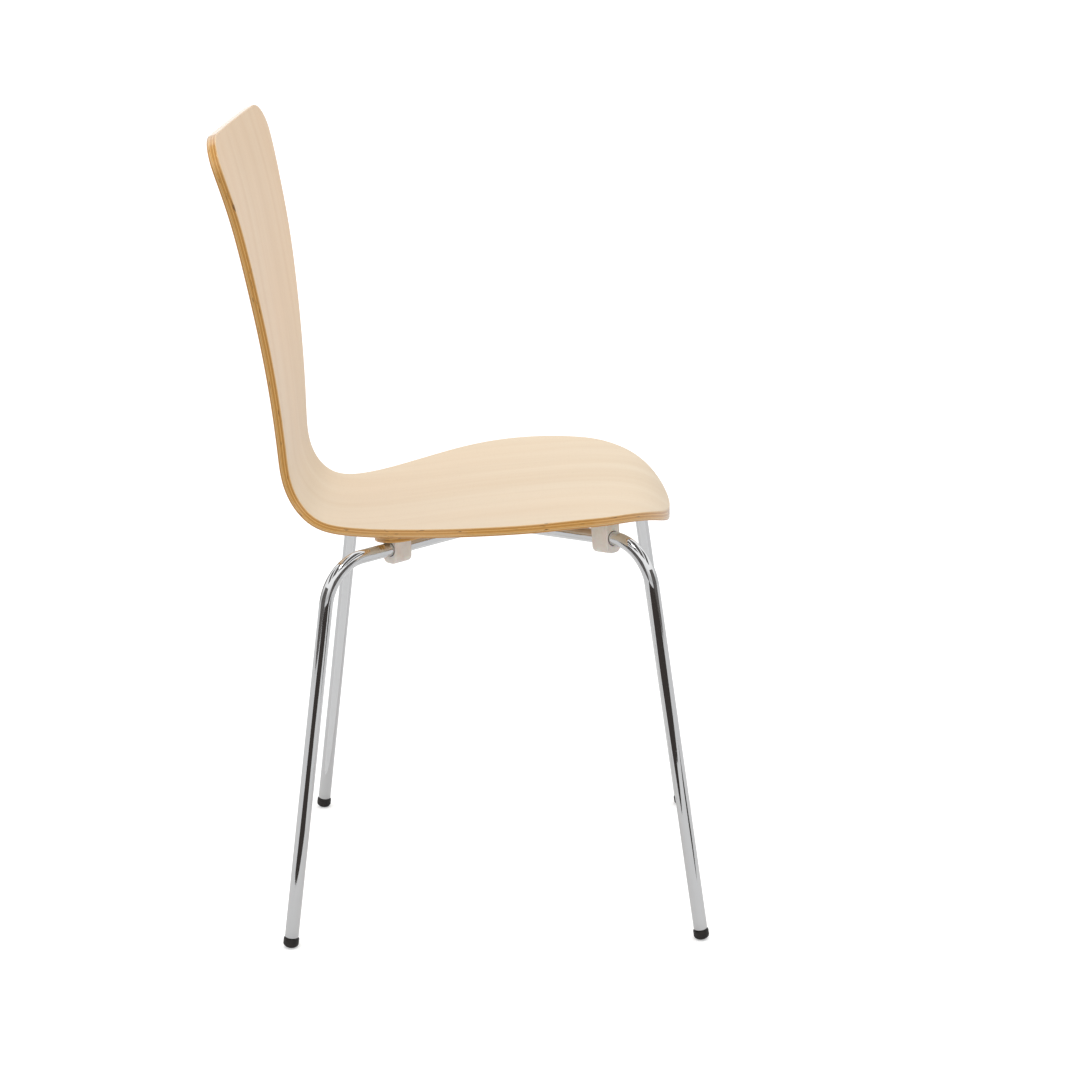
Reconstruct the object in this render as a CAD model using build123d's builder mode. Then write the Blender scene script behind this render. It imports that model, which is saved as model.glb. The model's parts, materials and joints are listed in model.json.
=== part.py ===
from build123d import *
from math import atan2, cos, degrees, radians, sin
import os

# Stacking chair: a moulded plywood shell on two bent, chromed steel tubes.
# Millimetres. +X points to the front of the seat, +Y to the sitter's left and +Z up.
# The origin lies on the floor, under the middle of the chair's overall length. The X values
# below are measured from midway between the four feet, and each finished piece is moved on.
origin_shift = 23.614

# Shell: side view of the sitting face on the centre line, front edge to top edge
shell_thickness = 10.0
shell_profile = [
    (200, 444), (168, 464.5), (128, 470), (49, 466.5), (-31, 459), (-110, 450), (-152, 447.5),
    (-188, 454), (-213, 485), (-220, 530), (-225, 602), (-238, 715), (-251.5, 800), (-270.5, 877),
]
# Along that line: distance from the front edge, half width, rise of the face 200 mm from the centre
shell_stations = [
    (110, 199.0, 5.0), (145, 208.5, 5.8), (180, 210.5, 6.6), (215, 205.0, 7.2), (250, 192.0, 7.6),
    (285, 172.5, 8.0), (320, 151.0, 8.2), (355, 130.0, 8.4), (390, 114.5, 8.6), (425, 107.5, 8.8),
    (460, 110.5, 9.0), (500, 122.0, 9.2), (560, 141.0, 8.8), (620, 162.0, 7.8), (690, 185.5, 6.0),
    (750, 201.0, 4.2),
]
rise_span = 200.0
front_round_length = 110.0
front_round_power = 1.5
front_width_power = 1.95
front_first_station = 1.0
front_section_count = 9
# The edge is cut plumb at the front, and turns square to the sheet over this distance
front_plumb_length = 80.0
top_half_width = 232.0
top_rise = 2.6
top_corner_height = 38.0
top_corner_width = 72.0
top_section_count = 7

# Steel tubes: half of each path, from a foot on the floor to the bend under the seat's centre
tube_diameter = 15.0
tube_wall = 1.5
leg_bend_radius = 50.0
centre_bend_radius = 45.0
front_path = {"foot": (225, 203, 0), "corner": (166, 190, 446), "centre": (-6.5, 0, 423)}
rear_path = {"foot": (-225, 211, 0), "corner": (-168, 190, 426.5), "centre": (6.5, 0, 423)}
tube_clearance = 0.1

# Plywood mounting pad, glued under the seat: a hub and four arms, the rear ones over the rear clips
pad_thickness = 9.0
glue_line = 0.15
pad_arm_width = 58.0
pad_hub_radius = 54.0
pad_inner_radius = 18.0
pad_front_tip = (94.0, 109.0)
pad_rear_tip = (-98.0, 110.0)
pad_first_station = 20.0
pad_last_station = 400.0
pad_outline_drop = 40.0
pad_outline_reach = 80.0
plate_recess_margin = 1.0

# Pressed steel plate between the tubes and the pad
plate_station = 207.0
plate_length = 112.0
plate_width = 90.0
plate_gauge = 3.0
plate_corner_radius = 8.0
flange_depth = 15.0

# Fasteners of the plate
screw_places = [(36.0, 0.0), (0.0, 29.0), (-36.0, 0.0), (0.0, -29.0)]
screw_diameter = 6.0
screw_length = 12.0
screw_head_diameter = 11.0
screw_head_height = 3.4
screw_socket_width = 4.0
screw_socket_depth = 2.0
screw_hole_play = 0.3
washer_diameter = 12.5
washer_thickness = 1.2
washer_play = 0.2
insert_diameter = 8.5
insert_length = 8.0
insert_groove_depth = 0.5
fit_clearance = 0.05

# Weld beads
bead_diameter = 5.0
bead_length = 12.0
centre_bead_height = 5.6

# Plastic clips: the front ones stand against the shell, and the rear ones against the pad
clip_length = 24.0
clip_width = 20.0
clip_bore = 16.2
clip_drop = 16.0
clip_top = 27.0
clip_low_rim = 5.0
clip_corner_radius = 7.0
clip_edge_radius = 1.2
clip_x = {"front": 124.5, "rear": -101.0}
peg_diameter = 6.0
peg_root = 8.8
peg_tip = {"front": 25.0, "rear": 14.0}
peg_play = 0.3

# Plastic glides in the tube ends
glide_diameter = 17.0
glide_head_height = 11.0
glide_dome_height = 4.5
glide_dome_shoulder = (0.62, 0.1)
glide_sink = 0.6
glide_lip_radius = 1.2
glide_stem_length = 18.0
glide_stem_play = 0.15
glide_stem_chamfer = 1.0
glide_rib_count = 4
glide_rib_depth = 0.7

SIDES = {"right": -1, "left": 1}


# ---------------------------------------------------------------- places
with BuildLine(Plane.XZ) as profile_line:
    Spline(*shell_profile)
profile = profile_line.edge()
shell_length = profile.length


def section_plane(station):
    """Plane across the shell; its x axis is +Y and its y axis points into the wood, or plumb at the front."""
    along = min(station / shell_length, 1.0)
    ramp = min(station / front_plumb_length, 1.0)
    square = ramp * ramp * (3 - 2 * ramp)
    heading = (profile % along) * square + Vector(-1, 0, 0) * (1 - square)
    return Plane(origin=profile @ along, x_dir=(0, 1, 0), z_dir=heading)


def on_side(point, side):
    """The point given for the left side, moved to the side asked for."""
    return Vector(point[0], point[1] * side, point[2])


def leg_plane(path, side):
    """Plane at the foot, square to the leg, with +Z up the leg."""
    foot = on_side(path["foot"], side)
    return Plane(origin=foot, z_dir=on_side(path["corner"], side) - foot)


def clip_plane(path, clip_x, side):
    """Plane square to the tube at a clip, with its y axis up."""
    corner = on_side(path["corner"], side)
    run = on_side(path["centre"], side) - corner
    place = corner + run * ((clip_x - corner.X) / run.X)
    return Plane(origin=place, x_dir=Vector(0, 0, 1).cross(run), z_dir=run)


def peg_plane(place):
    """Plane at the root of a clip's peg, with +Z up the peg."""
    return Plane(origin=place.origin + place.y_dir * peg_root, x_dir=place.x_dir, z_dir=place.y_dir)


def plate_plane():
    """Plane on the underside of the pad, with +X to the front and +Z into the wood."""
    section = section_plane(plate_station)
    under_pad = section.origin + section.y_dir * (shell_thickness + pad_thickness)
    return Plane(origin=under_pad, x_dir=-section.z_dir, z_dir=-section.y_dir)


def save(builder, label):
    """Move a finished piece to the chair's own origin, label it and write its STEP file."""
    piece = Pos(origin_shift, 0, 0) * builder.part
    piece.label = label
    export_step(piece, f"parts/{label}.step")


# ---------------------------------------------------------------- shell
def front_sections():
    """Sections of the rounded front edge, crowded towards the edge itself."""
    first_width, first_rise = shell_stations[0][1:]
    span = front_round_length - front_first_station
    for k in range(front_section_count):
        station = front_first_station + span * (k / front_section_count) ** 2
        fullness = 1 - (1 - station / front_round_length) ** front_round_power
        half_width = first_width * fullness ** (1 / front_width_power)
        yield station, half_width, first_rise * station / front_round_length


def top_sections():
    """Sections of the top of the back, with its two round corners."""
    last_station, last_width, last_rise = shell_stations[-1]
    for k in range(top_section_count):
        angle = radians(90 * k / (top_section_count - 1))
        station = shell_length - top_corner_height * (1 - sin(angle))
        along = (station - last_station) / (shell_length - last_station)
        side = last_width + (top_half_width - last_width) * along
        half_width = side - top_corner_width * (1 - cos(angle))
        yield station, half_width, last_rise + (top_rise - last_rise) * along


def curved_strip(station, half_width, rise, near, far):
    """Section of one layer of the shell, between two depths below the sitting face."""
    plane = section_plane(station)
    slant = plane.z_dir.dot(profile % min(station / shell_length, 1.0))
    near, far = near / slant, far / slant
    edge = rise * (half_width / rise_span) ** 2
    with BuildSketch(plane) as strip:
        with BuildLine():
            ThreePointArc((-half_width, near - edge), (0, near), (half_width, near - edge))
            Line((half_width, near - edge), (half_width, far - edge))
            ThreePointArc((half_width, far - edge), (0, far), (-half_width, far - edge))
            Line((-half_width, far - edge), (-half_width, near - edge))
        make_face()
    return strip.sketch


shell_sections = [*front_sections(), *shell_stations, *top_sections()]

with BuildPart() as shell_blank:
    loft([curved_strip(*section, 0, shell_thickness) for section in shell_sections])

clip_places = {
    end: [clip_plane(path, clip_x[end], side) for side in SIDES.values()]
    for end, path in (("front", front_path), ("rear", rear_path))
}

with BuildPart() as plywood_shell:
    add(shell_blank.part)
    for place in clip_places["front"]:
        with BuildSketch(peg_plane(place)):
            Circle(peg_diameter / 2 + fit_clearance)
        extrude(amount=peg_tip["front"] - peg_root + peg_play, mode=Mode.SUBTRACT)


# ---------------------------------------------------------------- tubes
def swept_tube(path, outer, inner):
    """One bent tube, from the right foot up, under the seat and down to the left foot."""
    stops = []
    for side in SIDES.values():
        corner = on_side(path["corner"], side)
        tube_end = leg_plane(path, side).from_local_coords(Vector(0, 0, glide_head_height))
        stops.append([tube_end, corner])
    right, left = stops
    radii = [leg_bend_radius, centre_bend_radius, leg_bend_radius]
    with BuildPart() as tube:
        with BuildLine() as route:
            FilletPolyline(*right, path["centre"], *reversed(left), radius=radii)
        with BuildSketch(leg_plane(path, SIDES["right"]).offset(glide_head_height)):
            Circle(outer / 2)
            if inner:
                Circle(inner / 2, mode=Mode.SUBTRACT)
        sweep(path=route.wire())
    return tube


bore = tube_diameter - 2 * tube_wall
front_leg_tube = swept_tube(front_path, tube_diameter, bore)
rear_leg_tube = swept_tube(rear_path, tube_diameter, bore)
tube_room = [swept_tube(path, tube_diameter + 2 * tube_clearance, 0).part for path in (front_path, rear_path)]


# ---------------------------------------------------------------- mounting pad
def pad_outline():
    """Two crossed slots with a round hub, seen from above."""
    with BuildSketch(Plane.XY.offset(shell_profile[0][1] - pad_outline_drop)) as outline:
        for side in SIDES.values():
            front = Vector(pad_front_tip[0], pad_front_tip[1] * side)
            rear = Vector(pad_rear_tip[0], -pad_rear_tip[1] * side)
            with Locations((front + rear) / 2):
                arm = front - rear
                SlotCenterToCenter(arm.length, pad_arm_width, rotation=degrees(atan2(arm.Y, arm.X)))
        Circle(pad_hub_radius)
        hub_corners = [v for v in outline.vertices() if abs(Vector(v.X, v.Y).length - pad_hub_radius) < 1]
        fillet(hub_corners, radius=pad_inner_radius)
    return outline.sketch


pad_layer = [section for section in shell_sections if pad_first_station < section[0] < pad_last_station]
pad_depths = (shell_thickness + glue_line, shell_thickness + pad_thickness)

with BuildPart() as pad_blank:
    loft([curved_strip(*section, *pad_depths) for section in pad_layer])
    extrude(pad_outline(), amount=pad_outline_reach, mode=Mode.INTERSECT)
    with BuildSketch(plate_plane()):
        Rectangle(plate_length + 2 * plate_recess_margin, plate_width + 2 * plate_recess_margin)
    extrude(amount=-plate_gauge, mode=Mode.SUBTRACT)

with BuildPart() as mounting_pad:
    add(pad_blank.part)
    with BuildSketch(plate_plane()):
        with Locations(*screw_places):
            Circle(insert_diameter / 2)
    extrude(amount=insert_length, mode=Mode.SUBTRACT)
    for place in clip_places["rear"]:
        with BuildSketch(peg_plane(place)):
            Circle(peg_diameter / 2 + fit_clearance)
        extrude(amount=peg_tip["rear"] - peg_root + peg_play, mode=Mode.SUBTRACT)


# ---------------------------------------------------------------- clips
def seat_clip(end, place):
    """Saddle round the tube, thick underneath, shaped to the wood above it, with a peg into that."""
    with BuildPart() as body:
        with BuildSketch(place.offset(-clip_length / 2)) as outline:
            with Locations((0, (clip_top - clip_drop) / 2)):
                Rectangle(clip_width, clip_top + clip_drop)
            fillet(outline.vertices().sort_by(Axis.Y)[:2], radius=clip_corner_radius)
        extrude(amount=clip_length)
        low_edges = body.edges().filter_by(lambda edge: edge.center().Z < place.origin.Z - clip_low_rim)
        low_rims = low_edges.filter_by(lambda edge: abs((edge % 0.5).dot(place.z_dir)) < 0.5)
        fillet(low_rims, radius=clip_edge_radius)
        add(pad_blank.part, mode=Mode.SUBTRACT)
        add(shell_blank.part, mode=Mode.SUBTRACT)
    with BuildPart() as saddle:
        add(body.solids().sort_by(Axis.Z)[0])
        with BuildSketch(peg_plane(place)):
            Circle(peg_diameter / 2)
        extrude(amount=peg_tip[end] - peg_root)
        with BuildSketch(place.offset(-clip_length)):
            Circle(clip_bore / 2)
        extrude(amount=2 * clip_length, mode=Mode.SUBTRACT)
    return saddle


# ---------------------------------------------------------------- plate and its fasteners
with BuildPart() as mounting_plate:
    with BuildSketch(plate_plane()):
        RectangleRounded(plate_length, plate_width, plate_corner_radius)
    extrude(amount=-plate_gauge)
    with BuildSketch(plate_plane()):
        with Locations((0, (plate_width - plate_gauge) / 2), (0, (plate_gauge - plate_width) / 2)):
            Rectangle(plate_length - 2 * plate_corner_radius, plate_gauge)
    extrude(amount=-flange_depth)
    for room in tube_room:
        add(room, mode=Mode.SUBTRACT)
    with BuildSketch(plate_plane()):
        with Locations(*screw_places):
            Circle(screw_diameter / 2 + screw_hole_play)
    extrude(amount=-plate_gauge, mode=Mode.SUBTRACT)

with BuildPart() as plate_washers:
    with BuildSketch(plate_plane().offset(-plate_gauge)):
        with Locations(*screw_places):
            Circle(washer_diameter / 2)
            Circle(screw_diameter / 2 + washer_play, mode=Mode.SUBTRACT)
    extrude(amount=-washer_thickness)

head_seat = plate_plane().offset(-plate_gauge - washer_thickness)

with BuildPart() as plate_screws:
    with BuildSketch(head_seat):
        with Locations(*screw_places):
            Circle(screw_head_diameter / 2)
    extrude(amount=-screw_head_height)
    with BuildSketch(head_seat):
        with Locations(*screw_places):
            Circle(screw_diameter / 2 - fit_clearance)
    extrude(amount=screw_length)
    with BuildSketch(head_seat.offset(-screw_head_height)):
        with Locations(*screw_places):
            RegularPolygon(screw_socket_width / 2, 6, major_radius=False)
    extrude(amount=screw_socket_depth, mode=Mode.SUBTRACT)

with BuildPart() as threaded_inserts:
    with BuildSketch(plate_plane()):
        with Locations(*screw_places):
            Circle(insert_diameter / 2 - fit_clearance)
            Circle(screw_diameter / 2, mode=Mode.SUBTRACT)
    extrude(amount=insert_length)
    for height in (insert_length / 4, insert_length / 2, insert_length * 3 / 4):
        with BuildSketch(plate_plane().offset(height)):
            with Locations(*screw_places):
                Circle(insert_diameter / 2)
                Circle(insert_diameter / 2 - insert_groove_depth, mode=Mode.SUBTRACT)
        extrude(amount=insert_groove_depth, mode=Mode.SUBTRACT)


# ---------------------------------------------------------------- weld beads
def bead_planes():
    """Where the flanges cross the tubes, and the two grooves between the tubes at the centre."""
    for path in (front_path, rear_path):
        for side in SIDES.values():
            corner = on_side(path["corner"], side)
            run = on_side(path["centre"], side) - corner
            flange_y = side * (plate_width - plate_gauge) / 2
            crossing = corner + run * ((flange_y - corner.Y) / run.Y)
            top = crossing + Vector(0, 0, tube_diameter / 2 + tube_clearance)
            yield Plane(origin=top, z_dir=run).offset(-bead_length / 2)
    for rise in (centre_bead_height, -centre_bead_height):
        groove = Vector(0, -bead_length / 2, front_path["centre"][2] + rise)
        yield Plane(origin=groove, z_dir=(0, 1, 0))


with BuildPart() as weld_beads:
    for plane in bead_planes():
        with BuildSketch(plane):
            Circle(bead_diameter / 2)
        extrude(amount=bead_length)
    for room in tube_room:
        add(room, mode=Mode.SUBTRACT)
    add(mounting_plate.part, mode=Mode.SUBTRACT)


# ---------------------------------------------------------------- glides
def foot_glide(path, side):
    """Domed foot with a ribbed stem in the tube, worn flat where it stands on the floor."""
    leg = leg_plane(path, side)
    radius = glide_diameter / 2
    stem = bore / 2 - glide_stem_play
    dome_start = glide_dome_height
    shoulder = (radius * glide_dome_shoulder[0], radius * glide_dome_shoulder[1])
    top = glide_head_height + glide_stem_length
    rib_pitch = glide_stem_length / (glide_rib_count + 1)
    with BuildPart() as glide:
        with BuildSketch(Plane(origin=leg.origin, x_dir=leg.x_dir, z_dir=-leg.y_dir)):
            with BuildLine():
                ThreePointArc((0, -glide_sink), shoulder, (radius, dome_start))
                Line((radius, dome_start), (radius, glide_head_height - glide_lip_radius))
                RadiusArc(
                    (radius, glide_head_height - glide_lip_radius),
                    (radius - glide_lip_radius, glide_head_height),
                    -glide_lip_radius,
                )
                Polyline(
                    (radius - glide_lip_radius, glide_head_height),
                    (stem, glide_head_height),
                    (stem, top - glide_stem_chamfer),
                    (stem - glide_stem_chamfer, top),
                    (0, top),
                    (0, -glide_sink),
                )
            make_face()
        revolve(axis=Axis(leg.origin, leg.z_dir))
        for k in range(glide_rib_count):
            with BuildSketch(leg.offset(glide_head_height + rib_pitch * (k + 0.5))):
                Circle(stem)
                Circle(stem - glide_rib_depth, mode=Mode.SUBTRACT)
            extrude(amount=rib_pitch / 2, mode=Mode.SUBTRACT)
        split(bisect_by=Plane.XY, keep=Keep.TOP)
    return glide


# ---------------------------------------------------------------- write the pieces
os.makedirs("parts", exist_ok=True)
save(plywood_shell, "plywood_shell")
save(mounting_pad, "mounting_pad")
save(front_leg_tube, "front_leg_tube")
save(rear_leg_tube, "rear_leg_tube")
save(mounting_plate, "mounting_plate")
save(plate_washers, "plate_washers")
save(plate_screws, "plate_screws")
save(threaded_inserts, "threaded_inserts")
save(weld_beads, "weld_beads")
for end, path in (("front", front_path), ("rear", rear_path)):
    for (name, side), place in zip(SIDES.items(), clip_places[end]):
        save(seat_clip(end, place), f"{end}_{name}_clip")
        save(foot_glide(path, side), f"{end}_{name}_glide")
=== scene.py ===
import json
import math

import bpy
import numpy as np
from mathutils import Matrix, Vector


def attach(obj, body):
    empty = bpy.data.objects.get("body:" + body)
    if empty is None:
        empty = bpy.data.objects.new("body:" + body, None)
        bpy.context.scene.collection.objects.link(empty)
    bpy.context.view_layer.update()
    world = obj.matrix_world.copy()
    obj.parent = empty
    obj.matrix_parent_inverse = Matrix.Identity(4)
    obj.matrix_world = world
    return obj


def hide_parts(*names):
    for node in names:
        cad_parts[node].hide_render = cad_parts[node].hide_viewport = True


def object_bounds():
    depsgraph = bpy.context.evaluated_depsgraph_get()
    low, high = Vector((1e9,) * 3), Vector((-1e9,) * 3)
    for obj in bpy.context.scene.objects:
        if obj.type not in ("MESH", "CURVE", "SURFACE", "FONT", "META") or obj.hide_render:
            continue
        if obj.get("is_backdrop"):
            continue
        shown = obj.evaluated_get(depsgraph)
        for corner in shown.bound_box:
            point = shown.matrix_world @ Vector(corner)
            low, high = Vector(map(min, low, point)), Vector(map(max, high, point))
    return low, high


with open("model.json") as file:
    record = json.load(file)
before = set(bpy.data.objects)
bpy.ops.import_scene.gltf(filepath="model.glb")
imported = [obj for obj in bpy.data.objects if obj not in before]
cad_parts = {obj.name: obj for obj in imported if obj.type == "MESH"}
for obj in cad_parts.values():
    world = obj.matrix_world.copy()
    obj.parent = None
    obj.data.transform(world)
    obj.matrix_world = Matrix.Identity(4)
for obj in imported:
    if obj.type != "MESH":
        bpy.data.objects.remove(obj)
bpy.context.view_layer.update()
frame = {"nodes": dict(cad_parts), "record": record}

MM = 0.001
feet = [mount["pos_m"] for mount in frame["record"]["mounts"] if mount["name"].endswith("_foot")]
ORIGIN_SHIFT = sum(foot[0] for foot in feet) / len(feet)
SIDES = {"right": -1, "left": 1}

# Shell, in millimetres from midway between the feet: its side view, then distance along it,
# half width, and rise of the sitting face 200 mm from the centre
SHELL_THICKNESS = 10.0
SHELL_PROFILE = [
    (200, 444), (168, 464.5), (128, 470), (49, 466.5), (-31, 459), (-110, 450), (-152, 447.5),
    (-188, 454), (-213, 485), (-220, 530), (-225, 602), (-238, 715), (-251.5, 800), (-270.5, 877),
]
SHELL_STATIONS = [
    (110, 199.0, 5.0), (145, 208.5, 5.8), (180, 210.5, 6.6), (215, 205.0, 7.2), (250, 192.0, 7.6),
    (285, 172.5, 8.0), (320, 151.0, 8.2), (355, 130.0, 8.4), (390, 114.5, 8.6), (425, 107.5, 8.8),
    (460, 110.5, 9.0), (500, 122.0, 9.2), (560, 141.0, 8.8), (620, 162.0, 7.8), (690, 185.5, 6.0),
    (750, 201.0, 4.2),
]
RISE_SPAN = 200.0
FRONT_ROUND = {"length": 110.0, "power": 1.5, "width_power": 1.95, "sections": 9}
FRONT_PLUMB = 80.0
TOP = {"half_width": 232.0, "rise": 2.6, "corner": (38.0, 72.0), "sections": 7}
STRAIGHT_SHARES = (0.1, 0.2)
ARRIS = 1.1
PROFILE_POINTS = 6000
RISE_POINTS = 2000
OUTLINE_POINTS = 9000
ROWS = 176
COLUMNS = 64
FRONT_CORNER = 62.0

# Tubes
TUBE_RADIUS = 7.5
TUBE_BORE = 6.0
TUBE_RIM = 0.35
TUBE_SIDES = 64
LEG_BEND = 50.0
CENTRE_BEND = 45.0
PATHS = {
    "front": {"foot": (225, 203, 0), "corner": (166, 190, 446), "centre": (-6.5, 0, 423)},
    "rear": {"foot": (-225, 211, 0), "corner": (-168, 190, 426.5), "centre": (6.5, 0, 423)},
}
HEAD_HEIGHT = 11.0

# Pad
PAD_THICKNESS = 9.0
PAD_ARM = 29.0
PAD_HUB = 54.0
PAD_FILLET = 18.0
PAD_FRONT_TIP = (94.0, 109.0)
PAD_REAR_TIP = (-98.0, 110.0)
PAD_ARRIS = 0.8
PAD_POINTS = 240
PAD_RINGS = 22
PAD_REACH = (20.0, 230.0)
SEAT_END = 420.0
OUTLINE_STEPS = 1440
HALVINGS = 40

# Glides
GLIDE_RADIUS = 8.5
DOME_HEIGHT = 4.5
GLIDE_SINK = 0.6
GLIDE_LIP = 1.2
STEM_RADIUS = 5.85
STEM_LENGTH = 18.0
RIB_COUNT = 4
RIB_DEPTH = 0.7
GLIDE_SIDES = 56
DOME_STEPS = 16
WALL_STEPS = 3
LIP_STEPS = 6


# ---------------------------------------------------------------- curves
def end_slope(knots, values):
    """Slope at the first of four knots of the cubic through all four."""
    return np.polyfit(knots - knots[0], values, 3)[-2]


class Spline:
    """Smooth curve through points, with the distance between them as its parameter."""

    def __init__(self, points):
        self.values = np.array(points, float)
        steps = np.linalg.norm(np.diff(self.values, axis=0), axis=1)
        self.knots = np.concatenate([[0], np.cumsum(steps)])
        count = len(self.knots)
        rate = np.diff(self.values, axis=0) / steps[:, None]
        system = np.zeros((count, count))
        target = np.zeros_like(self.values)
        system[0, 0] = system[-1, -1] = 1
        target[0] = end_slope(self.knots[:4], self.values[:4])
        target[-1] = end_slope(self.knots[:-5:-1], self.values[:-5:-1])
        for k in range(1, count - 1):
            system[k, k - 1:k + 2] = steps[k], 2 * (steps[k - 1] + steps[k]), steps[k - 1]
            target[k] = 3 * (steps[k] * rate[k - 1] + steps[k - 1] * rate[k])
        self.slopes = np.linalg.solve(system, target)

    def at(self, places):
        k = np.clip(np.searchsorted(self.knots, places, side="right") - 1, 0, len(self.knots) - 2)
        width = (self.knots[k + 1] - self.knots[k])[:, None]
        t = (places - self.knots[k])[:, None] / width
        start, end = self.values[k], self.values[k + 1]
        return (
            start * (1 + 2 * t) * (1 - t) ** 2
            + end * t * t * (3 - 2 * t)
            + self.slopes[k] * width * t * (1 - t) ** 2
            + self.slopes[k + 1] * width * t * t * (t - 1)
        )

    def dense(self, count):
        return self.at(np.linspace(0, self.knots[-1], count))


def distances(points):
    """Distance along a polyline at each of its points."""
    return np.concatenate([[0], np.cumsum(np.linalg.norm(np.diff(points, axis=0), axis=1))])


def resample(points, places):
    """Points of a polyline at shares of its length."""
    along = distances(points)
    wanted = np.asarray(places) * along[-1]
    return np.stack([np.interp(wanted, along, points[:, k]) for k in range(points.shape[1])], 1)


# ---------------------------------------------------------------- shell surface
profile_line = Spline(SHELL_PROFILE).dense(PROFILE_POINTS)
profile_along = distances(profile_line)
SHELL_LENGTH = profile_along[-1]
profile_tangent = np.gradient(profile_line, profile_along, axis=0)


def shell_sections():
    """(distance along the shell, half width, rise) from the front edge to the top edge."""
    first, first_width, first_rise = SHELL_STATIONS[0]
    rows = []
    for k in range(FRONT_ROUND["sections"]):
        station = 1 + (first - 1) * (k / FRONT_ROUND["sections"]) ** 2
        fullness = 1 - (1 - station / first) ** FRONT_ROUND["power"]
        rows.append((
            station, first_width * fullness ** (1 / FRONT_ROUND["width_power"]), first_rise * station / first,
        ))
    rows += SHELL_STATIONS
    last, last_width, last_rise = SHELL_STATIONS[-1]
    for share in STRAIGHT_SHARES:
        rows.append((
            last + (SHELL_LENGTH - last) * share, last_width + (TOP["half_width"] - last_width) * share,
            last_rise + (TOP["rise"] - last_rise) * share,
        ))
    for k in range(TOP["sections"]):
        angle = math.radians(90 * k / (TOP["sections"] - 1))
        station = SHELL_LENGTH - TOP["corner"][0] * (1 - math.sin(angle))
        share = (station - last) / (SHELL_LENGTH - last)
        side = last_width + (TOP["half_width"] - last_width) * share
        rows.append((
            station, side - TOP["corner"][1] * (1 - math.cos(angle)),
            last_rise + (TOP["rise"] - last_rise) * share,
        ))
    return rows


sections = np.array(shell_sections())
rise_line = Spline([(0, 0), *[(s, 10 * r) for s, _, r in SHELL_STATIONS], (SHELL_LENGTH, 10 * TOP["rise"])])
rise_dense = rise_line.dense(RISE_POINTS)


def shell_point(along, across, depth):
    """Points in the chair's frame, in metres: along the shell, across it, and down into the wood."""
    along, across, depth = np.broadcast_arrays(
        np.asarray(along, float), np.asarray(across, float), np.asarray(depth, float)
    )
    x, z, tx, tz = (
        np.interp(along, profile_along, source[:, axis])
        for source in (profile_line, profile_tangent) for axis in (0, 1)
    )
    run = np.stack([tx, tz]) / np.hypot(tx, tz)
    ramp = np.clip(along / FRONT_PLUMB, 0, 1)
    square = ramp * ramp * (3 - 2 * ramp)
    heading = run * square + np.stack([square - 1, square * 0])
    heading /= np.hypot(*heading)
    slant = (heading * run).sum(0)
    rise = np.interp(along, rise_dense[:, 0], rise_dense[:, 1]) / 10
    down = depth / slant - rise * (across / RISE_SPAN) ** 2
    return np.stack([
        (x - heading[1] * down) * MM + ORIGIN_SHIFT, across * MM, (z + heading[0] * down) * MM,
    ], -1)


# ---------------------------------------------------------------- mesh helpers
def make_piece(name, points, faces, attributes=None, replaces=()):
    """A smooth mesh that rides on the chair and stands for CAD nodes."""
    mesh = bpy.data.meshes.new(name)
    mesh.from_pydata([tuple(p) for p in points], [], [tuple(int(i) for i in f) for f in faces])
    mesh.update()
    for label, values in (attributes or {}).items():
        layer = mesh.attributes.new(label, "FLOAT", "POINT")
        layer.data.foreach_set("value", np.asarray(values, np.float32))
    mesh.polygons.foreach_set("use_smooth", [True] * len(mesh.polygons))
    piece = bpy.data.objects.new(name, mesh)
    bpy.context.scene.collection.objects.link(piece)
    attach(piece, "root")
    if replaces:
        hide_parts(*replaces)
    return piece


def grid_faces(rows, columns, close_rows=False, close_columns=False):
    """Quads of a grid of points stored row by row."""
    faces = []
    for i in range(rows if close_rows else rows - 1):
        for j in range(columns if close_columns else columns - 1):
            a, b = i * columns, (i + 1) % rows * columns
            k = (j + 1) % columns
            faces.append((a + j, a + k, b + k, b + j))
    return faces


def offset_loop(loop, inset):
    """A closed outline moved inwards; the outline runs anticlockwise."""
    ahead, behind = np.roll(loop, -1, axis=0), np.roll(loop, 1, axis=0)
    run = ahead - behind
    run /= np.linalg.norm(run, axis=1)[:, None]
    return loop + inset * np.stack([-run[:, 1], run[:, 0]], 1)


def arris_rings(thickness, radius, steps=4, edge_steps=6):
    """(inset, depth) of the rings from one face round the edge to the other face."""
    rings = [(radius + 0.5, 0.0)]
    for k in range(steps + 1):
        angle = math.radians(90 * k / steps)
        rings.append((radius * (1 - math.sin(angle)), radius * (1 - math.cos(angle))))
    for k in range(1, edge_steps):
        rings.append((0.0, radius + (thickness - 2 * radius) * k / edge_steps))
    return rings + [(inset, thickness - depth) for inset, depth in reversed(rings[:steps + 2])]


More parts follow.
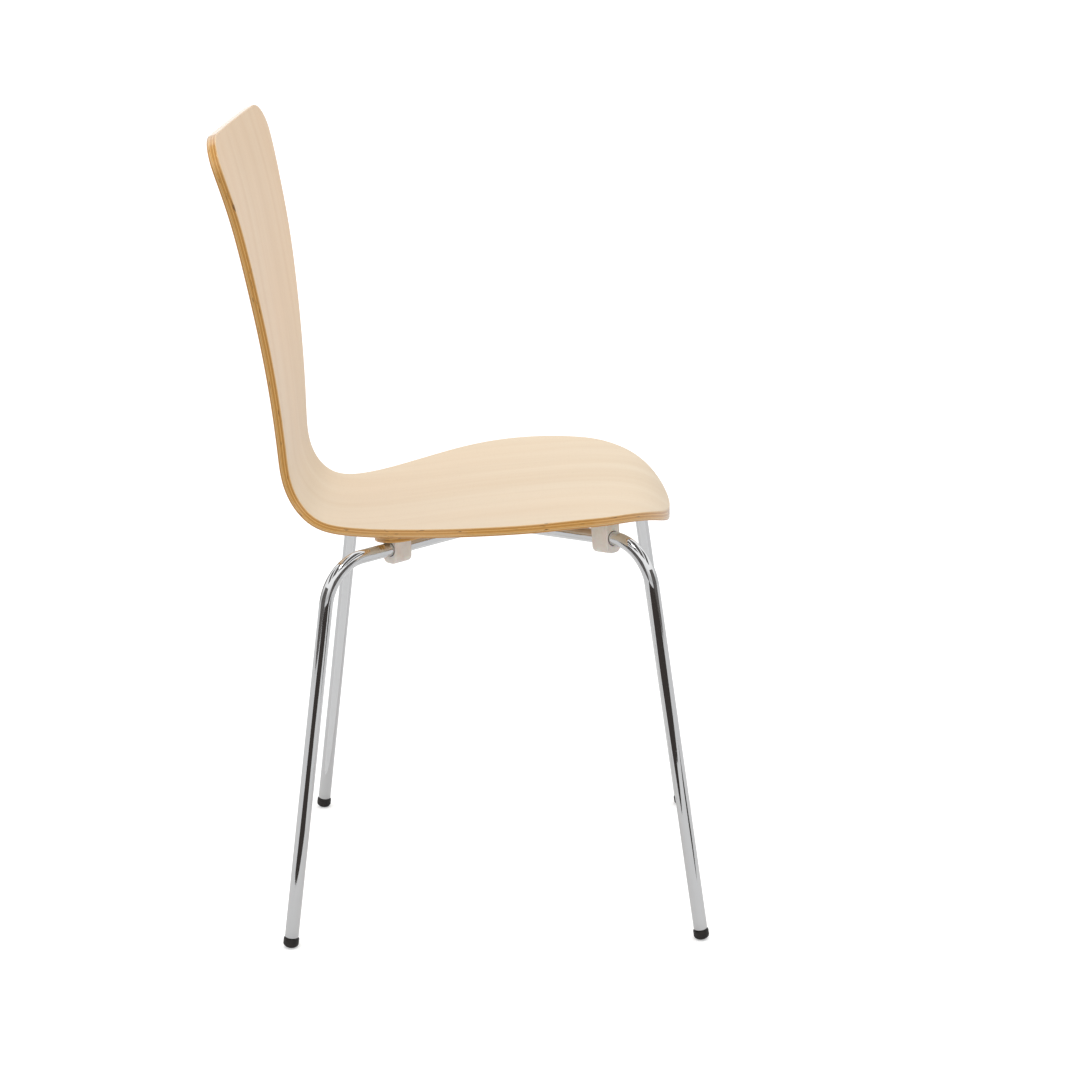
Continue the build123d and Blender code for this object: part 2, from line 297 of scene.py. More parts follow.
def slab(outline_at, fill, thickness, radius, start_depth=0.0):
    """A sheet of wood: two filled faces joined by rings round a rounded edge.

    outline_at(inset) gives the closed outline, and fill(outline) the inner points and all faces
    of a filled outline, whose own points come first. Returns (domain points, depths, faces)."""
    points, depths, faces = [], [], []
    rings = arris_rings(thickness, radius)
    starts = []
    for inset, depth in rings:
        loop = outline_at(inset)
        starts.append(len(depths))
        points.extend(loop)
        depths.extend([start_depth + depth] * len(loop))
    count = len(loop)
    for a, b in zip(starts, starts[1:]):
        for j in range(count):
            k = (j + 1) % count
            faces.append((a + j, b + j, b + k, a + k))
    for ring, flip in ((0, False), (len(rings) - 1, True)):
        loop = outline_at(rings[ring][0])
        inner, filled = fill(loop)
        first_inner = len(depths)
        points.extend(inner)
        depths.extend([start_depth + rings[ring][1]] * len(inner))
        for face in filled:
            ids = [starts[ring] + i if i < count else first_inner + i - count for i in face]
            faces.append(ids[::-1] if flip else ids)
    return np.array(points), np.array(depths), faces


# ---------------------------------------------------------------- shell
def side_outline():
    """One side of the shell's outline, from the middle of the front edge to the top corner's end."""
    points = [(0.0, 0.0), *[(s, w) for s, w, _ in sections]]
    mirrored = [(s, -w) for s, w in points[4:0:-1]]
    line = Spline(mirrored + points).dense(OUTLINE_POINTS)
    line[:, 1] = np.minimum(line[:, 1], sections[:, 1].max())
    return line[np.argmax(line[:, 1] >= 0):]


half_line = side_outline()
middle_of_corner = SHELL_LENGTH - TOP["corner"][0] * (1 - math.sin(math.radians(45)))
front_split = np.argmax(half_line[:, 0] >= FRONT_CORNER)
top_split = np.argmax(half_line[:, 0] >= middle_of_corner)
half_front = half_line[:front_split + 1]
half_side = half_line[front_split:top_split + 1]
half_top = np.vstack([half_line[top_split:], [(SHELL_LENGTH, 0.0)]])
mirror = np.array([1, -1])

front_edge = resample(np.vstack([half_front[::-1] * mirror, half_front[1:]]), np.linspace(0, 1, COLUMNS + 1))
left_edge = resample(half_side, np.linspace(0, 1, ROWS + 1))
top_edge = resample(np.vstack([half_top, half_top[-2::-1] * mirror]), np.linspace(0, 1, COLUMNS + 1))
right_edge = left_edge[::-1] * mirror
shell_loop = np.vstack([front_edge[:-1], left_edge[:-1], top_edge[:-1], right_edge[:-1]])


def fill_four_sides(loop):
    """Blends the four sides of the shell's outline into a grid of quads."""
    front = loop[:COLUMNS + 1]
    left = loop[COLUMNS:COLUMNS + ROWS + 1]
    top = loop[COLUMNS + ROWS:2 * COLUMNS + ROWS + 1][::-1]
    right = np.vstack([loop[2 * COLUMNS + ROWS:], loop[:1]])[::-1]
    u = np.linspace(0, 1, COLUMNS + 1)[None, :, None]
    v = np.linspace(0, 1, ROWS + 1)[:, None, None]
    grid = (
        (1 - v) * front[None] + v * top[None] + (1 - u) * right[:, None] + u * left[:, None]
        - (1 - u) * (1 - v) * front[0] - u * (1 - v) * front[-1]
        - (1 - u) * v * top[0] - u * v * top[-1]
    )
    count = len(loop)
    index = np.full((ROWS + 1, COLUMNS + 1), -1)
    index[0] = np.arange(COLUMNS + 1)
    index[:, -1] = COLUMNS + np.arange(ROWS + 1)
    index[-1, ::-1] = COLUMNS + ROWS + np.arange(COLUMNS + 1)
    index[::-1, 0] = (2 * COLUMNS + ROWS + np.arange(ROWS + 1)) % count
    inner = grid[1:-1, 1:-1].reshape(-1, 2)
    index[1:-1, 1:-1] = count + np.arange(len(inner)).reshape(ROWS - 1, COLUMNS - 1)
    faces = [
        (index[i, j], index[i, j + 1], index[i + 1, j + 1], index[i + 1, j])
        for i in range(ROWS) for j in range(COLUMNS)
    ]
    return inner, faces


def shell_outline(inset):
    """The shell's outline moved inwards. It runs clockwise, so its columns are swapped meanwhile."""
    return offset_loop(shell_loop[:, ::-1], inset)[:, ::-1]


flat, depths, faces = slab(shell_outline, fill_four_sides, SHELL_THICKNESS, ARRIS)
shell = make_piece(
    "shell", shell_point(flat[:, 0], flat[:, 1], depths), faces,
    {
        "along": flat[:, 0] * MM, "across": flat[:, 1] * MM,
        "depth": depths * MM, "sheet": depths * 0 + SHELL_THICKNESS * MM,
    },
    replaces=["plywood_shell"],
)


# ---------------------------------------------------------------- pad
def slot_distance(points, start, end, radius):
    """Distance of points outside a straight arm with round ends."""
    run = end - start
    share = np.clip(((points - start) @ run) / (run @ run), 0, 1)
    return np.linalg.norm(points - start - share[:, None] * run, axis=1) - radius


def rounded_union(a, b, radius):
    """Union of two outlines, given by distance, with a round fillet where they meet."""
    inner = np.hypot(np.maximum(radius - a, 0), np.maximum(radius - b, 0))
    return np.maximum(radius, np.minimum(a, b)) - inner


def pad_distance(points):
    """Distance of points outside the pad: two crossed arms with a round hub."""
    arms = []
    for side in SIDES.values():
        front = np.array([PAD_FRONT_TIP[0], PAD_FRONT_TIP[1] * side])
        rear = np.array([PAD_REAR_TIP[0], -PAD_REAR_TIP[1] * side])
        arms.append(slot_distance(points, front, rear, PAD_ARM))
    cross = rounded_union(*arms, PAD_FILLET)
    hub = np.linalg.norm(points, axis=1) - PAD_HUB
    return rounded_union(cross, hub, PAD_FILLET)


seat_part = profile_along < SEAT_END
seat_x = profile_line[seat_part, 0][::-1]
seat_along = profile_along[seat_part][::-1]


def pad_loop():
    """Outline of the pad as (distance along the shell, distance across), anticlockwise from above."""
    angles = np.linspace(0, 2 * np.pi, OUTLINE_STEPS, endpoint=False)
    heading = np.stack([np.cos(angles), np.sin(angles)], 1)
    low, high = (np.full(len(angles), reach) for reach in PAD_REACH)
    for _ in range(HALVINGS):
        middle = (low + high) / 2
        inside = pad_distance(heading * middle[:, None]) < 0
        low, high = np.where(inside, middle, low), np.where(inside, high, middle)
    outline = heading * low[:, None]
    outline = resample(np.vstack([outline, outline[:1]]), np.linspace(0, 1, PAD_POINTS + 1)[:-1])
    return np.stack([np.interp(outline[:, 0], seat_x, seat_along), outline[:, 1]], 1)


pad_edge = pad_loop()
pad_centre = np.array([np.interp(0.0, seat_x, seat_along), 0.0])


def pad_outline(inset):
    """The pad's outline moved inwards. It is mirrored meanwhile, as "along" runs against x."""
    flip = np.array([-1, 1])
    return offset_loop(pad_edge * flip, inset) * flip


def fill_round(loop):
    """Rings from an outline to its centre."""
    inner, faces = [], []
    count = len(loop)
    for ring in range(1, PAD_RINGS):
        share = 1 - ring / PAD_RINGS
        inner.extend(pad_centre + (loop - pad_centre) * share)
        for j in range(count):
            k = (j + 1) % count
            a, b = (ring - 1) * count, ring * count
            faces.append((a + j, a + k, b + k, b + j))
    inner.append(pad_centre)
    last, middle = (PAD_RINGS - 1) * count, PAD_RINGS * count
    faces += [(last + j, last + (j + 1) % count, middle) for j in range(count)]
    return inner, faces


flat, depths, faces = slab(pad_outline, fill_round, PAD_THICKNESS, PAD_ARRIS, SHELL_THICKNESS)
pad = make_piece(
    "pad", shell_point(flat[:, 0], flat[:, 1], depths), faces,
    {
        "along": flat[:, 0] * MM, "across": flat[:, 1] * MM,
        "depth": (depths - SHELL_THICKNESS) * MM, "sheet": depths * 0 + PAD_THICKNESS * MM,
    },
    replaces=["mounting_pad"],
)


# ---------------------------------------------------------------- tubes
def bent_line(corners, radii, step=2.5, spacing=14.0):
    """Points and directions along straight runs joined by round bends."""
    corners = [np.array(c, float) for c in corners]
    points, headings = [], []
    start = corners[0]
    for k in range(1, len(corners)):
        heading = corners[k] - corners[k - 1]
        heading /= np.linalg.norm(heading)
        end, arc = corners[k], []
        if k < len(corners) - 1:
            next_heading = corners[k + 1] - corners[k]
            next_heading /= np.linalg.norm(next_heading)
            turn = math.acos(np.clip(heading @ next_heading, -1, 1))
            radius = radii[k - 1]
            cut = radius * math.tan(turn / 2)
            end = corners[k] - heading * cut
            inward = next_heading - heading * (heading @ next_heading)
            inward /= np.linalg.norm(inward)
            count = max(2, math.ceil(math.degrees(turn) / step))
            for i in range(1, count):
                angle = turn * i / count
                arc.append((
                    end + heading * radius * math.sin(angle) + inward * radius * (1 - math.cos(angle)),
                    heading * math.cos(angle) + inward * math.sin(angle),
                ))
        count = max(1, round(np.linalg.norm(end - start) / spacing))
        for i in range(count + 1):
            points.append(start + (end - start) * i / count)
            headings.append(heading)
        for point, direction in arc:
            points.append(point)
            headings.append(direction)
        if arc:
            start = corners[k] + next_heading * cut
    return np.array(points), np.array(headings)


def leg_axis(path, side):
    """Foot of a leg, and its direction upwards."""
    foot, corner = (np.array(path[end], float) * [1, side, 1] for end in ("foot", "corner"))
    axis = corner - foot
    return foot, axis / np.linalg.norm(axis)


def swept_loops(points, headings, radius, count):
    """Circles square to a line, with no twist between them."""
    normal = np.cross(headings[0], [0, 1, 0])
    loops = []
    angles = np.linspace(0, 2 * np.pi, count + 1)[:-1]
    for point, heading in zip(points, headings):
        normal = normal - heading * (normal @ heading)
        normal /= np.linalg.norm(normal)
        side = np.cross(heading, normal)
        loops.append(point + radius * (np.outer(np.cos(angles), normal) + np.outer(np.sin(angles), side)))
    return loops


def tube(end, path):
    """One bent tube with its bore and rounded rims."""
    right_foot, right_axis = leg_axis(path, -1)
    left_foot, left_axis = leg_axis(path, 1)
    corner = np.array(path["corner"], float)
    line = [
        right_foot + right_axis * HEAD_HEIGHT, corner * [1, -1, 1], path["centre"], corner,
        left_foot + left_axis * HEAD_HEIGHT,
    ]
    points, headings = bent_line(line, [LEG_BEND, CENTRE_BEND, LEG_BEND])
    outer, inner, rims = (
        swept_loops(points, headings, radius, TUBE_SIDES)
        for radius in (TUBE_RADIUS, TUBE_BORE, TUBE_RADIUS - TUBE_RIM)
    )
    outer[0] = outer[0] + headings[0] * TUBE_RIM
    outer[-1] = outer[-1] - headings[-1] * TUBE_RIM
    loops = rims[:1] + outer + rims[-1:] + inner[::-1]
    stacked = np.vstack(loops) * MM + [ORIGIN_SHIFT, 0, 0]
    faces = grid_faces(len(loops), TUBE_SIDES, close_rows=True, close_columns=True)
    faces = [face[::-1] for face in faces]
    return make_piece(f"{end}_tube", stacked, faces, replaces=[f"{end}_leg_tube"])


tubes = [tube(end, path) for end, path in PATHS.items()]


# ---------------------------------------------------------------- glides
def glide_profile():
    """(radius, height up the leg) from the bottom of the dome, over the lip, to the top of the stem."""
    rows = []
    for k in range(1, DOME_STEPS + 1):
        angle = math.radians(90 * k / DOME_STEPS)
        rows.append((
            GLIDE_RADIUS * math.sin(angle), -GLIDE_SINK + (DOME_HEIGHT + GLIDE_SINK) * (1 - math.cos(angle)),
        ))
    straight = HEAD_HEIGHT - GLIDE_LIP
    wall = straight - DOME_HEIGHT
    rows += [(GLIDE_RADIUS, DOME_HEIGHT + wall * k / WALL_STEPS) for k in range(1, WALL_STEPS + 1)]
    for k in range(1, LIP_STEPS + 1):
        angle = math.radians(90 * k / LIP_STEPS)
        rows.append((
            GLIDE_RADIUS - GLIDE_LIP * (1 - math.cos(angle)), straight + GLIDE_LIP * math.sin(angle),
        ))
    rows += [(TUBE_BORE + 0.4, HEAD_HEIGHT), (STEM_RADIUS, HEAD_HEIGHT)]
    pitch = STEM_LENGTH / (RIB_COUNT + 1)
    for k in range(RIB_COUNT):
        low = HEAD_HEIGHT + pitch * (k + 0.5)
        high = low + pitch / 2
        groove = STEM_RADIUS - RIB_DEPTH
        rows += [(STEM_RADIUS, low), (groove, low), (groove, high), (STEM_RADIUS, high)]
    top = HEAD_HEIGHT + STEM_LENGTH
    return rows + [(STEM_RADIUS, top - 1), (STEM_RADIUS - 1, top), (STEM_RADIUS / 2, top)]


def glide(end, name, path, side):
    """Moulded foot, turned about the leg's axis and worn flat on the floor."""
    foot, axis = leg_axis(path, side)
    rows = glide_profile()
    count = GLIDE_SIDES
    loops = [
        swept_loops([foot + axis * height], [axis], radius, count)[0] for radius, height in rows
    ]
    points = np.vstack([*loops, foot - axis * GLIDE_SINK, foot + axis * rows[-1][1]])
    points[:, 2] = np.maximum(points[:, 2], 0)
    faces = grid_faces(len(loops), count, close_columns=True)
    bottom, top = len(points) - 2, len(points) - 1
    last = (len(loops) - 1) * count
    faces += [((j + 1) % count, j, bottom) for j in range(count)]
    faces += [(last + j, last + (j + 1) % count, top) for j in range(count)]
    points = points * MM + [ORIGIN_SHIFT, 0, 0]
    return make_piece(
        f"{end}_{name}_foot", points, faces, replaces=[f"{end}_{name}_glide"],
    )


glides = [
    glide(end, name, path, side) for end, path in PATHS.items() for name, side in SIDES.items()
]


# ---------------------------------------------------------------- materials
class Tree:
    """A node material under construction."""

    def __init__(self, name):
        self.material = bpy.data.materials.new(name)
        self.material.use_nodes = True
        self.nodes = self.material.node_tree.nodes
        self.links = self.material.node_tree.links
        self.shader = self.nodes["Principled BSDF"]

    def add(self, kind, inputs=None, output=0, **settings):
        node = self.nodes.new(kind)
        for key, value in settings.items():
            setattr(node, key, value)
        for key, value in (inputs or {}).items():
            if isinstance(value, bpy.types.NodeSocket):
                self.links.new(value, node.inputs[key])
            else:
                node.inputs[key].default_value = value
        return node.outputs[output]

    def math(self, operation, a, b=0.0, clamp=False):
        return self.add("ShaderNodeMath", {0: a, 1: b}, operation=operation, use_clamp=clamp)

    def attribute(self, name):
        return self.add("ShaderNodeAttribute", output="Fac", attribute_name=name)

    def vector(self, x, y, z):
        return self.add("ShaderNodeCombineXYZ", {0: x, 1: y, 2: z})

    def scaled(self, vector, scale):
        return self.add("ShaderNodeMapping", {"Vector": vector, "Scale": scale})

    def noise(self, vector, scale, detail=3.0, roughness=0.5, distortion=0.0):
        return self.add("ShaderNodeTexNoise", {
            "Vector": vector, "Scale": scale, "Detail": detail,
            "Roughness": roughness, "Distortion": distortion,
        })

    def spread(self, value, low, high, to_low=0.0, to_high=1.0):
        return self.add("ShaderNodeMapRange", {
            "Value": value, "From Min": low, "From Max": high, "To Min": to_low, "To Max": to_high,
        })

    def mix(self, share, a, b, blend="MIX"):
        node = self.nodes.new("ShaderNodeMix")
        node.data_type, node.blend_type = "RGBA", blend
        for socket, value in ((node.inputs[0], share), (node.inputs[6], a), (node.inputs[7], b)):
            if isinstance(value, bpy.types.NodeSocket):
                self.links.new(value, socket)
            else:
                socket.default_value = value
        return node.outputs[2]

    def ramp(self, value, stops):
        node = self.nodes.new("ShaderNodeValToRGB")
        elements = node.color_ramp.elements
        for k, (place, colour) in enumerate(stops):
            element = elements[k] if k < 2 else elements.new(place)
            element.position, element.color = place, colour
        self.links.new(value, node.inputs[0])
        return node.outputs[0]

    def set(self, **values):
        for key, value in values.items():
            socket = self.shader.inputs[key.replace("_", " ")]
            if isinstance(value, bpy.types.NodeSocket):
                self.links.new(value, socket)
            else:
                socket.default_value = value

    def bump(self, height, distance, strength):
        relief = {"Height": height, "Distance": distance, "Strength": strength}
        self.set(Normal=self.add("ShaderNodeBump", relief))


def rgb(red, green, blue):
    """Linear colour from 8-bit screen values."""
    return tuple(
        ((c / 255 + 0.055) / 1.055) ** 2.4 if c > 10.31 else c / 255 / 12.92 for c in (red, green, blue)
    ) + (1.0,)


def darker(colour, share):
    """A colour at a share of its brightness."""
    return tuple(c * share for c in colour[:3]) + (1.0,)


PLY_TONES = [rgb(228, 188, 126), rgb(210, 148, 70), rgb(234, 184, 106), rgb(212, 154, 76), rgb(232, 180, 104)]
GLUE_TONE = rgb(128, 86, 44)
PLY_STOP = {"start": 0.012, "end": 0.022, "glue": 0.004}
FACE_VENEER = (0.00012, 0.0005)


def ply_stops(plies):
    """Colours through the thickness: plain plies with a thin glue line between them."""
    stops = []
    for k in range(plies):
        low, high = k / plies, (k + 1) / plies
        colour = PLY_TONES[k % len(PLY_TONES)]
        stops.append((low + PLY_STOP["start"] if k else 0.0, colour))
        stops.append((high - PLY_STOP["end"], colour))
        if k < plies - 1:
            stops.append((high - PLY_STOP["glue"], GLUE_TONE))
    return stops


def plywood(name, face_light, face_dark, plies):
    """Beech plywood: lacquered veneer faces, and plies with glue lines round the edge."""
    t = Tree(name)
    along, across, depth, sheet = (t.attribute(a) for a in ("along", "across", "depth", "sheet"))
    share = t.math("DIVIDE", depth, sheet)
    layer = t.math("MULTIPLY", share, 0.05)
    place = t.vector(across, along, layer)
    figure = t.noise(t.scaled(place, (26, 1.7, 20)), 1.0, 4.0, 0.55, 0.6)
    fibre = t.noise(t.scaled(place, (950, 9, 20)), 1.0, 3.0, 0.6)
    flecks = t.noise(t.scaled(place, (1500, 230, 20)), 1.0, 2.0, 0.5)
    cloud = t.noise(t.scaled(place, (7, 3, 20)), 1.0, 2.0, 0.5)
    tone = t.mix(t.spread(figure, 0.34, 0.66), face_dark, face_light)
    tone = t.mix(t.spread(cloud, 0.3, 0.7, 0, 0.3), tone, rgb(240, 212, 176))
    # Painted shade: from 0.42 m along the shell onwards, the tone is multiplied warmer and deeper to stand in
    # for the weaker light that falls on the back
    tone = t.mix(t.spread(along, 0.42, 0.62, 0, 0.75), tone, (1.15, 1.01, 0.88, 1.0), "MULTIPLY")
    tone = t.mix(t.spread(fibre, 0.3, 0.7, 0.10, 0.0), tone, rgb(206, 166, 122), "MULTIPLY")
    tone = t.mix(t.spread(flecks, 0.62, 0.72, 0, 0.22), tone, rgb(196, 150, 106), "MULTIPLY")

    wander = t.noise(t.scaled(t.vector(across, along, depth), (30, 30, 30)), 1.0, 2.0, 0.5)
    drift = t.math("MULTIPLY", t.math("SUBTRACT", wander, 0.5), 0.05)
    edge = t.ramp(t.math("ADD", share, drift), ply_stops(plies))
    edge_fibre = t.noise(t.scaled(t.vector(across, along, depth), (260, 260, 2600)), 1.0, 3.0, 0.6)
    edge = t.mix(t.spread(edge_fibre, 0.3, 0.7, 0.2, 0.0), edge, rgb(170, 112, 58), "MULTIPLY")
    voids = t.noise(t.scaled(t.vector(across, along, depth), (70, 70, 900)), 1.0, 1.0, 0.4)
    edge = t.mix(t.spread(voids, 0.70, 0.74, 0.0, 0.85), edge, rgb(70, 38, 18))
    near = t.spread(depth, *FACE_VENEER)
    far = t.spread(t.math("SUBTRACT", sheet, depth), *FACE_VENEER)
    inside = t.math("MULTIPLY", near, far, clamp=True)
    colour = t.mix(inside, tone, edge)
    rough = t.spread(fibre, 0.25, 0.75, 0.34, 0.46)
    t.set(
        Base_Color=colour, Roughness=rough, Specular_IOR_Level=0.4,
        Coat_Weight=t.spread(inside, 0, 1, 0.35, 0.75), Coat_Roughness=t.spread(inside, 0, 1, 0.22, 0.08),
    )
    relief = t.math("ADD", t.math("MULTIPLY", fibre, 0.6), t.math("MULTIPLY", flecks, 0.4))
    t.bump(relief, 0.00006, 0.5)
    return t.material


def metal(name, colour, low, high, relief, scale=60.0):
    """Plated metal whose faint smears vary its colour and, from low to high, its roughness."""
    t = Tree(name)
    place = t.add("ShaderNodeTexCoord", output="Object")
    smear = t.noise(t.scaled(place, (1, 1, 0.25)), scale, 4.0, 0.6)
    fine = t.noise(place, 900.0, 2.0, 0.5)
    t.set(
        Metallic=1.0,
        Base_Color=t.mix(t.spread(smear, 0.3, 0.7), colour, darker(colour, 0.94)),
        Roughness=t.spread(smear, 0.35, 0.75, low, high),
    )
    t.bump(t.math("ADD", smear, t.math("MULTIPLY", fine, 0.3)), relief, 0.6)
    return t.material


def plastic(name, colour, worn, roughness, soft, grain):
    """Moulded plastic, finely textured, paler or dustier in places."""
    t = Tree(name)
    place = t.add("ShaderNodeTexCoord", output="Object")
    patch = t.noise(place, 90.0, 4.0, 0.6)
    texture = t.noise(place, grain, 2.0, 0.5)
    t.set(
        Base_Color=t.mix(t.spread(patch, 0.4, 0.7), colour, worn),
        Roughness=t.spread(texture, 0.3, 0.7, roughness - 0.06, roughness + 0.08),
        Subsurface_Weight=soft, Subsurface_Scale=0.003, Specular_IOR_Level=0.4,
    )
    t.bump(texture, 0.00004, 0.5)
    return t.material


def finish_with(piece, material):
    piece.data.materials.clear()
    piece.data.materials.append(material)


finish_with(shell, plywood("beech_shell", rgb(233, 214, 184), rgb(226, 203, 169), 7))
finish_with(pad, plywood("beech_pad", rgb(222, 184, 138), rgb(204, 160, 112), 5))
chrome = metal("chrome", (0.74, 0.745, 0.75, 1.0), 0.035, 0.08, 0.00002, 30.0)
for piece in tubes:
    finish_with(piece, chrome)
rubber = plastic("black_plastic", rgb(24, 21, 19), rgb(42, 36, 33), 0.45, 0.0, 1400.0)
for piece in glides:
    finish_with(piece, rubber)


def carry_over(names, material):
    """CAD pieces that keep their shape and get a finish."""
    for name in names:
        piece = frame["nodes"][name]
        for place in piece.material_slots:
            place.material = material
        if not piece.material_slots:
            piece.data.materials.append(material)


clip_names = [f"{end}_{name}_clip" for end in PATHS for name in SIDES]
ivory = plastic("ivory_plastic", rgb(236, 229, 221), rgb(224, 214, 203), 0.42, 0.15, 1100.0)
carry_over(clip_names, ivory)
plate_finish = metal("plated_steel", (0.62, 0.63, 0.64, 1), 0.18, 0.32, 0.00004)
carry_over(["mounting_plate", "plate_screws"], plate_finish)
zinc = metal("zinc_steel", (0.58, 0.58, 0.54, 1), 0.28, 0.45, 0.00005, 120.0)
carry_over(["plate_washers"], zinc)
brass = metal("insert_brass", (0.72, 0.52, 0.22, 1), 0.25, 0.4, 0.00004)
carry_over(["threaded_inserts"], brass)
weld = metal("plated_weld", (0.60, 0.60, 0.62, 1), 0.2, 0.4, 0.0002, 380.0)
carry_over(["weld_beads"], weld)


# ---------------------------------------------------------------- studio
# Metres. Camera rays see a white floor and backdrop. The cards are seen only in the gloss of the
# chair: they are the dark and pale parts of a studio that its chrome and lacquer reflect.
FLOOR_SIZE = 38.0
FLOOR_HEIGHT = -0.0004
BOUNCE_HEIGHT = -0.001
BACKDROP = {"radius": 18.0, "lowest": -8.0, "sides": 64, "rings": 15}
FLOOR_CARD_HEIGHT = 0.002
CEILING = {"height": 2.6, "front": -1.8, "back": 1.1, "width": 1.0, "lefts": (-2.75, -1.3, 0.15, 1.6)}
SKY_TONES = [(0.0, 0.6), (0.16, 0.7), (0.34, 1.04), (0.6, 1.14), (1.0, 1.12)]
SKY_STRENGTH = 0.97


def studio_mesh(name, points, faces):
    """A mesh of the studio, which isn't part of the chair."""
    mesh = bpy.data.meshes.new(name)
    mesh.from_pydata(points, [], faces)
    thing = bpy.data.objects.new(name, mesh)
    bpy.context.scene.collection.objects.link(thing)
    return thing


def only_seen_by(thing, camera=False, glossy=False, diffuse=False):
    """Limits which rays meet a piece of the studio."""
    thing.visible_camera, thing.visible_glossy, thing.visible_diffuse = camera, glossy, diffuse
    thing.visible_shadow = thing.visible_transmission = thing.visible_volume_scatter = False


def matt(name, colour, glow=0.0):
    """Matt paint with a slight unevenness, and a glow of its own."""
    t = Tree(name)
    place = t.add("ShaderNodeTexCoord", output="Object")
    shade = t.noise(place, 2.0, 2.0)
    t.set(
        Base_Color=t.mix(shade, colour, darker(colour, 0.97)),
        Roughness=0.9, Specular_IOR_Level=0.0,
        Emission_Color=(1, 1, 1, 1), Emission_Strength=glow,
    )
    return t.material


def ground(name, height, material):
    """A wide level square."""
    half = FLOOR_SIZE / 2
    corners = [(-half, -half, 0), (half, -half, 0), (half, half, 0), (-half, half, 0)]
    thing = studio_mesh(name, corners, [(0, 1, 2, 3)])
    thing.location.z = height
    thing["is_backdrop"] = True
    finish_with(thing, material)
    return thing


def dome(name, material):
    """Closed half sphere round the studio, reaching a little below the floor."""
    radius, sides, rings = BACKDROP["radius"], BACKDROP["sides"], BACKDROP["rings"]
    angles = np.linspace(0, 2 * np.pi, sides, endpoint=False)
    heights = np.radians(np.linspace(BACKDROP["lowest"], 90, rings))[:-1]
    points = [
        (radius * math.cos(h) * math.cos(a), radius * math.cos(h) * math.sin(a), radius * math.sin(h))
        for h in heights for a in angles
    ]
    top, last_ring = len(points), (len(heights) - 1) * sides
    faces = grid_faces(len(heights), sides, close_columns=True)
    faces += [(last_ring + j, last_ring + (j + 1) % sides, top) for j in range(sides)]
    thing = studio_mesh(name, points + [(0, 0, radius)], faces)
    finish_with(thing, material)
    return thing


def card(name, corners, material):
    """A flat screen that only the gloss of the chair meets."""
    thing = studio_mesh(name, corners, [tuple(range(len(corners)))])
    thing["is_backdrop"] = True
    finish_with(thing, material)
    only_seen_by(thing, glossy=True)


def sky():
    """Light from all round, stronger from above than from the sides."""
    world = bpy.data.worlds.new("studio")
    bpy.context.scene.world = world
    world.use_nodes = True
    tree = world.node_tree
    direction = tree.nodes.new("ShaderNodeTexCoord").outputs["Generated"]
    split = tree.nodes.new("ShaderNodeSeparateXYZ")
    tones = tree.nodes.new("ShaderNodeValToRGB")
    elements = tones.color_ramp.elements
    for k, (height, level) in enumerate(SKY_TONES):
        element = elements[k] if k < 2 else elements.new(height)
        element.position, element.color = height, (level, level, level, 1)
    background = tree.nodes["Background"]
    tree.links.new(direction, split.inputs[0])
    tree.links.new(split.outputs["Z"], tones.inputs[0])
    tree.links.new(tones.outputs[0], background.inputs["Color"])
    background.inputs["Strength"].default_value = SKY_STRENGTH


def area_light(name, location, target, size, power):
    """Square soft light turned to a target."""
    data = bpy.data.lights.new(name, "AREA")
    data.shape, data.size, data.energy = "SQUARE", size, power
    light = bpy.data.objects.new(name, data)
    light.location = location
    light.rotation_euler = (Vector(target) - Vector(location)).to_track_quat("-Z", "Y").to_euler()
    bpy.context.scene.collection.objects.link(light)


floor = ground("floor", FLOOR_HEIGHT, matt("floor_white", (0.90, 0.90, 0.90, 1), 0.34))
only_seen_by(floor, camera=True)
bounce = ground("floor_bounce", BOUNCE_HEIGHT, matt("floor_bounce", (0.70, 0.70, 0.705, 1)))
only_seen_by(bounce, glossy=True, diffuse=True)
bounce.visible_shadow = True
backdrop = dome("backdrop", matt("backdrop_white", (0.9, 0.9, 0.9, 1), 1.1))
backdrop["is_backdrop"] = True
only_seen_by(backdrop, camera=True)

dark_screen = matt("dark_screen", (0.05, 0.043, 0.04, 1))
grey_screen = matt("grey_screen", (0.24, 0.22, 0.20, 1))
ceiling_screen = matt("ceiling_screen", (0.16, 0.15, 0.145, 1))
white_screen = matt("white_screen", (0.5, 0.5, 0.5, 1), 0.42)
rim_screen = matt("rim_white", (0.6, 0.6, 0.6, 1), 0.75)

FLOOR_CARDS = {
    "front_card": [
        (-0.48, -0.46), (0.02, -0.46), (0.2, -0.85), (0.5, -0.95),
        (1.9, -1.6), (1.9, -2.6), (-1.3, -2.6), (-1.05, -1.5),
    ],
    "right_card": [(0.45, -0.36), (0.75, -0.36), (1.3, -0.75), (0.8, -0.75)],
}
for name, corners in FLOOR_CARDS.items():
    card(name, [(*corner, FLOOR_CARD_HEIGHT) for corner in corners], dark_screen)

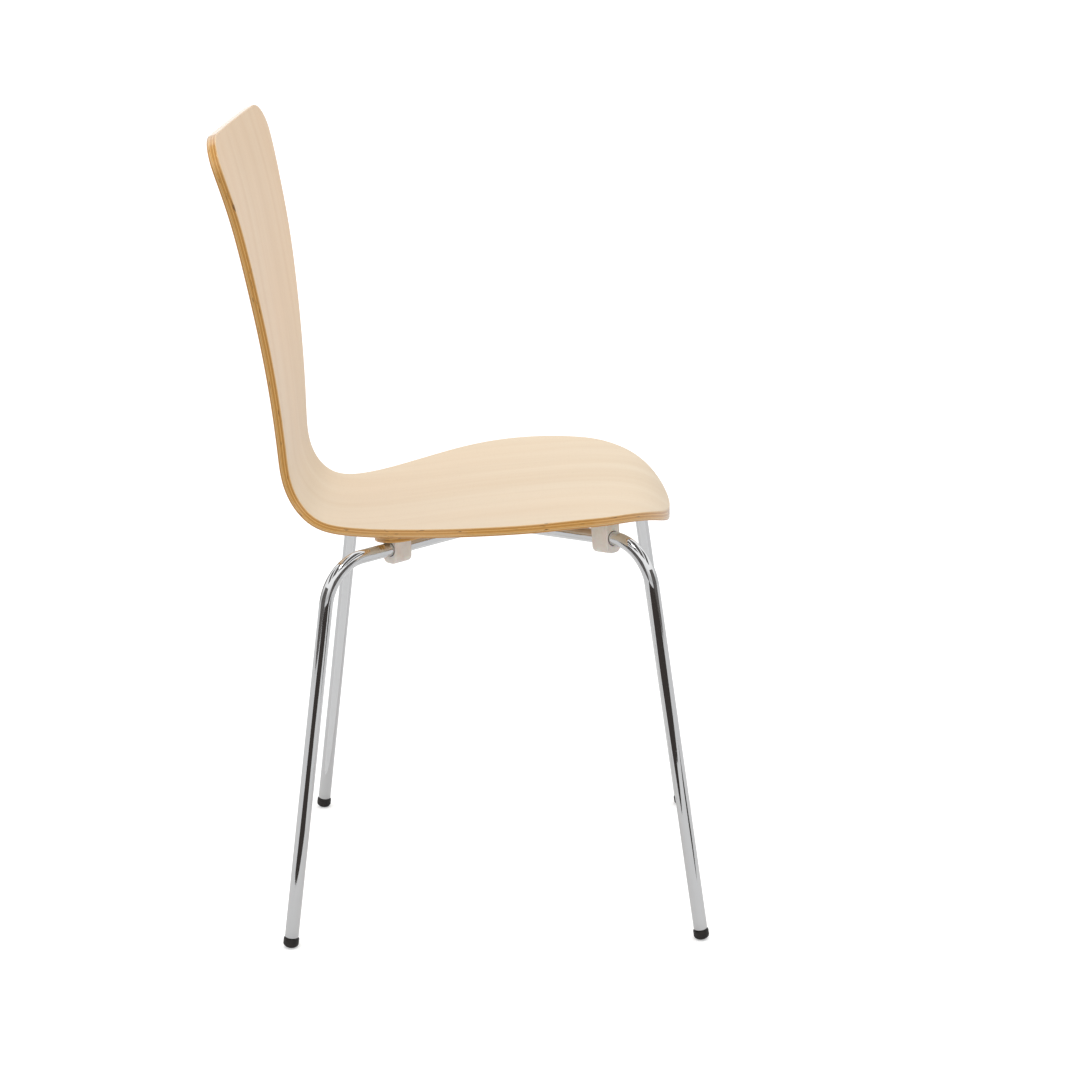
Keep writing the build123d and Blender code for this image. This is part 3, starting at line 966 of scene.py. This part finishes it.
# Two ends on the floor plan, then the heights of the bottom and the top
UPRIGHT_CARDS = {
    "back_card": ((-1.9, 0.9), (-0.9, 2.2), (0.1, 1.1), grey_screen),
    "middle_card": ((-0.34, 0.11), (0.34, 0.11), (0.002, 0.36), white_screen),
    "left_card": ((-2.4, -0.4), (-0.9, -2.4), (0.05, 1.5), ceiling_screen),
    "far_right_card": ((0.9, -2.4), (2.4, -0.6), (0.05, 1.5), ceiling_screen),
    "rim_card": ((-1.4, 2.6), (-0.5, 2.6), (0.8, 1.25), rim_screen),
}
for name, (start, end, (bottom, top), material) in UPRIGHT_CARDS.items():
    card(name, [(*start, bottom), (*end, bottom), (*end, top), (*start, top)], material)

for k, left in enumerate(CEILING["lefts"]):
    front, rear, high = CEILING["front"], CEILING["back"], CEILING["height"]
    right = left + CEILING["width"]
    plan = [(left, front), (right, front), (right, rear), (left, rear)]
    card(f"ceiling_card_{k}", [(*corner, high) for corner in plan], ceiling_screen)

sky()
area_light("top_light", (-0.26 + ORIGIN_SHIFT, -0.72, 2.5), (-0.2, -0.2, 0.8), 0.3, 4.5)


# ---------------------------------------------------------------- camera
CAMERA_PLACE = (0.06436 + ORIGIN_SHIFT, -2.68424, 1.12326)
SENSOR_WIDTH = 36.0
LENS = 81.763333
ELEVATION, AZIMUTH, ROLL = math.radians(15.09), math.radians(0.236), math.radians(-0.855)
back = Vector((
    math.sin(AZIMUTH) * math.cos(ELEVATION), -math.cos(AZIMUTH) * math.cos(ELEVATION), math.sin(ELEVATION),
))
right = Vector((math.cos(AZIMUTH), math.sin(AZIMUTH), 0))
up = back.cross(right)
rolled_right = right * math.cos(ROLL) + up * math.sin(ROLL)
rolled_up = up * math.cos(ROLL) - right * math.sin(ROLL)
camera_data = bpy.data.cameras.new("camera")
camera_data.sensor_width = SENSOR_WIDTH
camera_data.lens = LENS
camera = bpy.data.objects.new("camera", camera_data)
turn = Matrix((rolled_right, rolled_up, back)).transposed()
camera.matrix_world = Matrix.Translation(CAMERA_PLACE) @ turn.to_4x4()
bpy.context.scene.collection.objects.link(camera)
bpy.context.scene.camera = camera
bpy.context.scene.view_settings.view_transform = "Standard"

low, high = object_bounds()
